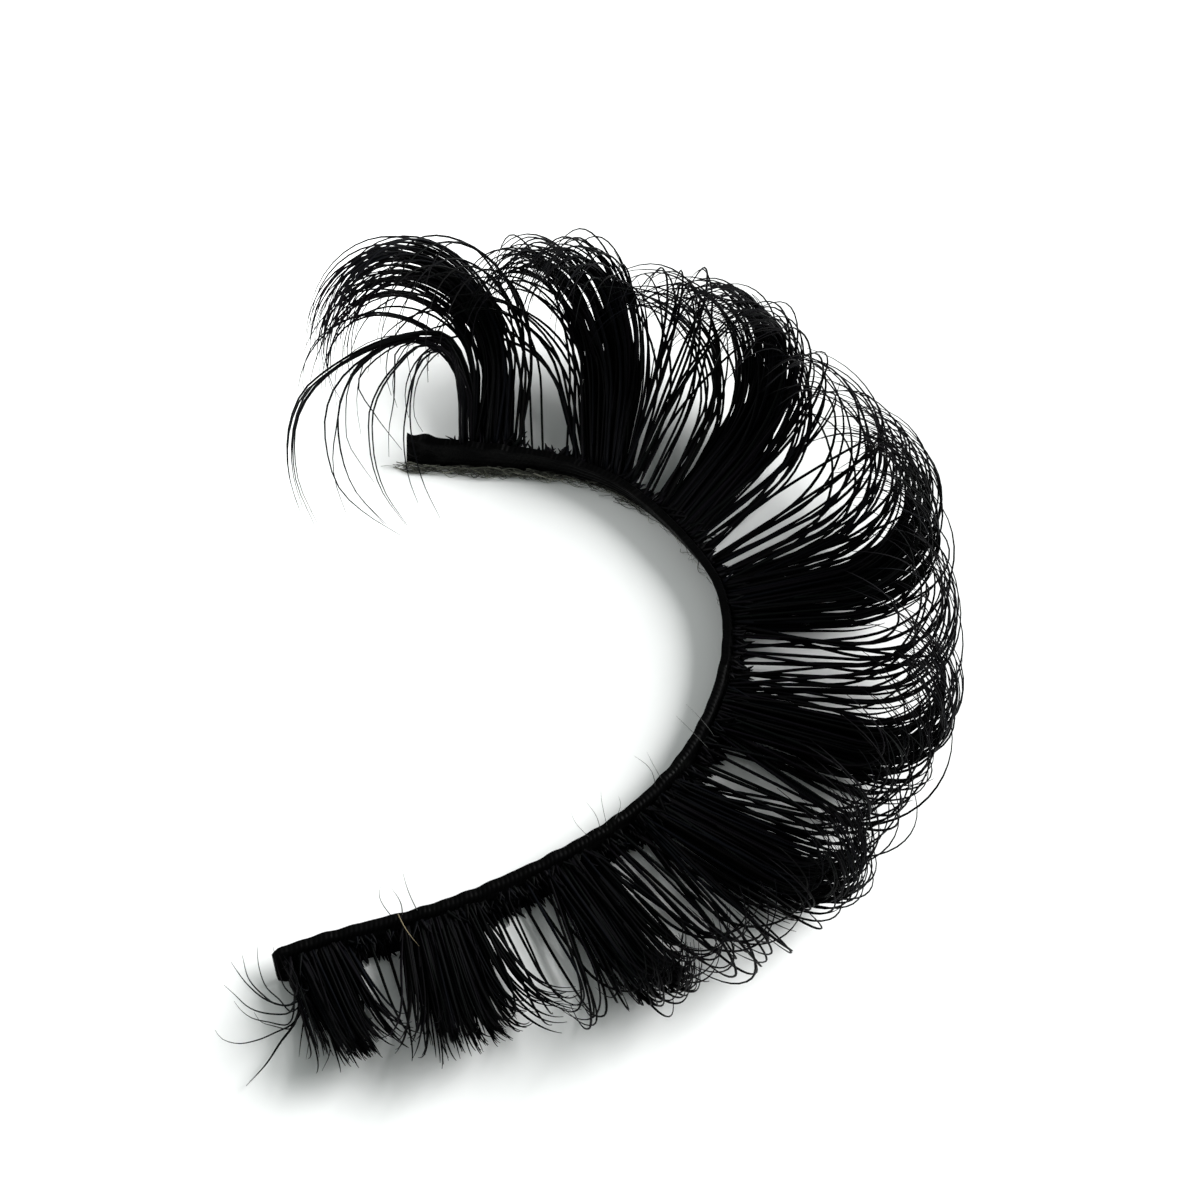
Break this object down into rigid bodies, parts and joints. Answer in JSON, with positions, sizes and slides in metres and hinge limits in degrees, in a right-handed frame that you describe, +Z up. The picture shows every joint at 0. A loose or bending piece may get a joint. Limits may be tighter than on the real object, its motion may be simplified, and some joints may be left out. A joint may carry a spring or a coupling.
{
  "type": "false eyelash strip",
  "caption": "Curved false eyelash strip: a thin C-shaped band with curled fans of lashes along its outer side and loose wisps at both ends.",
  "frame": {"origin": "on the table, at the middle of the band's flat underside", "axes": "+Z up, away from the table; +X out of the closed side of the C, away from its open mouth; +Y towards the arm of the C that ends at the outer corner"},
  "size_m": [0.025, 0.0306, 0.0077],
  "materials": {
    "band": "black cotton thread set in clear adhesive, slightly glossy at the edges",
    "lash_fibre": "satin black polyester fibre"
  },
  "bodies": {
    "root": {"band": "band", "lash_tuft_01": "lash_fibre", "lash_tuft_02": "lash_fibre", "lash_tuft_03": "lash_fibre", "lash_tuft_04": "lash_fibre", "lash_tuft_05": "lash_fibre", "lash_tuft_06": "lash_fibre", "lash_tuft_07": "lash_fibre", "lash_tuft_08": "lash_fibre", "lash_tuft_09": "lash_fibre", "outer_corner_wisps": "lash_fibre", "inner_corner_wisps": "lash_fibre"}
  },
  "joints": []
}
